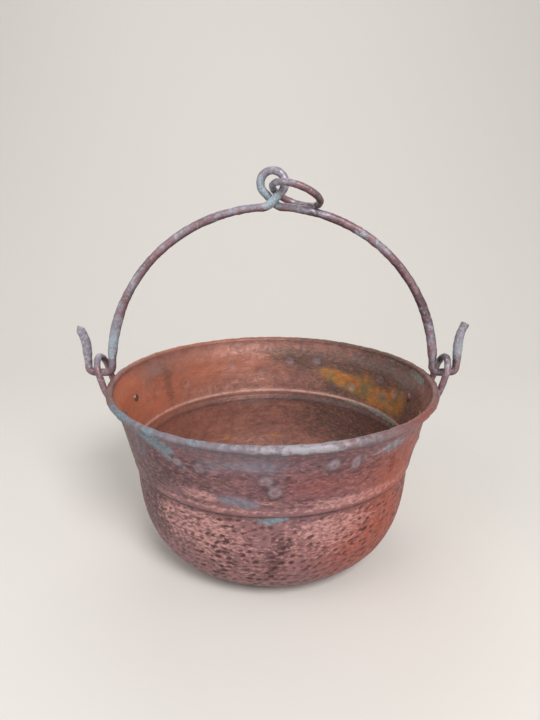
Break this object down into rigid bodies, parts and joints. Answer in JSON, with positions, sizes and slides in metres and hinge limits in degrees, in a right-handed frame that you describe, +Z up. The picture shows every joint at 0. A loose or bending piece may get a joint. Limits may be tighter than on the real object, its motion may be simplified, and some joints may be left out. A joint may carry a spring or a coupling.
{
  "type": "copper hanging pan",
  "caption": "Small hammered copper pan with a wired rim, riveted wire ears, a swinging wire bail with a looped eye, and a hanging ring.",
  "frame": {"origin": "centre of the flat base, on the surface that the pan stands on", "axes": "+Z up, +X along the bail's hinge axis towards the right ear, -Y towards the viewer"},
  "size_m": [0.1452, 0.1228, 0.1423],
  "materials": {
    "hammered_copper": "hammered, tarnished copper with patches of verdigris",
    "patinated_wire": "dull grey-brown patina with verdigris",
    "rivet_copper": "tarnished copper",
    "iron_wire": "bare black iron"
  },
  "bodies": {
    "pan": {"pan_bowl": "hammered_copper", "rim_wire": "iron_wire", "left_ear": "patinated_wire", "right_ear": "patinated_wire", "left_front_rivet": "rivet_copper", "left_rear_rivet": "rivet_copper", "right_front_rivet": "rivet_copper", "right_rear_rivet": "rivet_copper"},
    "bail": {"bail": "patinated_wire"},
    "ring": {"hanging_ring": "patinated_wire"}
  },
  "joints": [
    {"name": "bail_swing", "type": "hinge", "parent": "pan", "child": "bail", "pos_m": [0, 0, 0.06824], "axis": [1, 0, 0], "range_deg": [-84, 84]},
    {"name": "ring_swing", "type": "hinge", "parent": "bail", "child": "ring", "pos_m": [0, 0, 0.13594], "axis": [0, -1, 0], "range_deg": [0, 220]}
  ]
}
